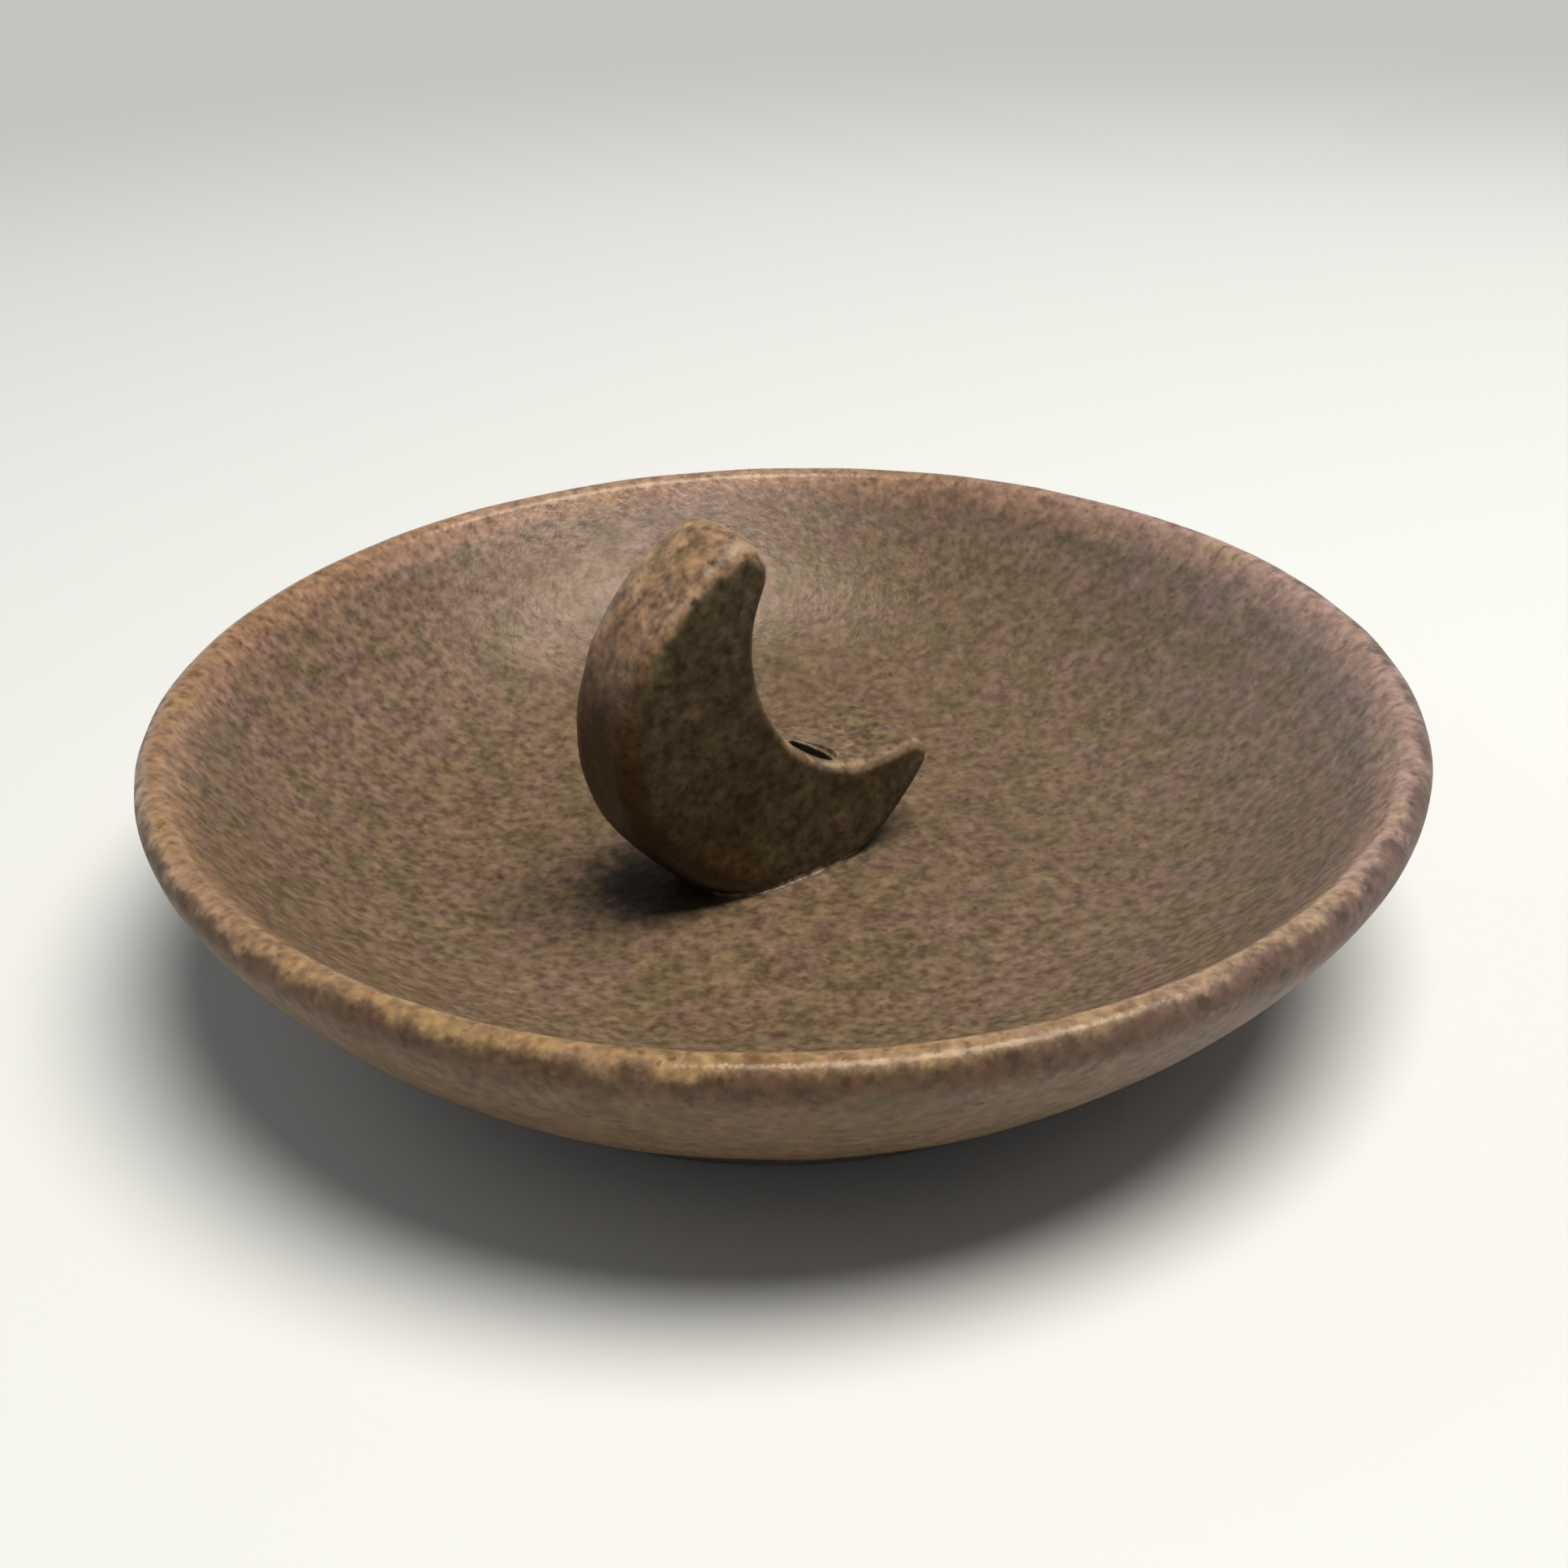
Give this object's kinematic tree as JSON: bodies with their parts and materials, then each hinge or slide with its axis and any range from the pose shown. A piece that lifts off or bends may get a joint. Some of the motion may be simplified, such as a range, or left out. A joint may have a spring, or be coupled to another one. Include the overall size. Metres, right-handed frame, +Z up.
{
  "type": "incense holder",
  "caption": "Round stoneware dish with a rolled lip and a foot ring, and a crescent of clay standing in it with a blind hole for an incense stick.",
  "frame": {"origin": "on the dish's axis, in the plane that its foot ring stands on", "axes": "+Z up the dish's axis; -Y towards the side from which the crescent is seen with its hollow on the right"},
  "size_m": [0.11, 0.11, 0.0398],
  "materials": {
    "dish_glaze": "satin",
    "crescent_glaze": "satin",
    "slip_glaze": "satin"
  },
  "bodies": {
    "root": {"dish": "dish_glaze", "crescent": "crescent_glaze", "joining_slip": "slip_glaze"}
  },
  "joints": []
}
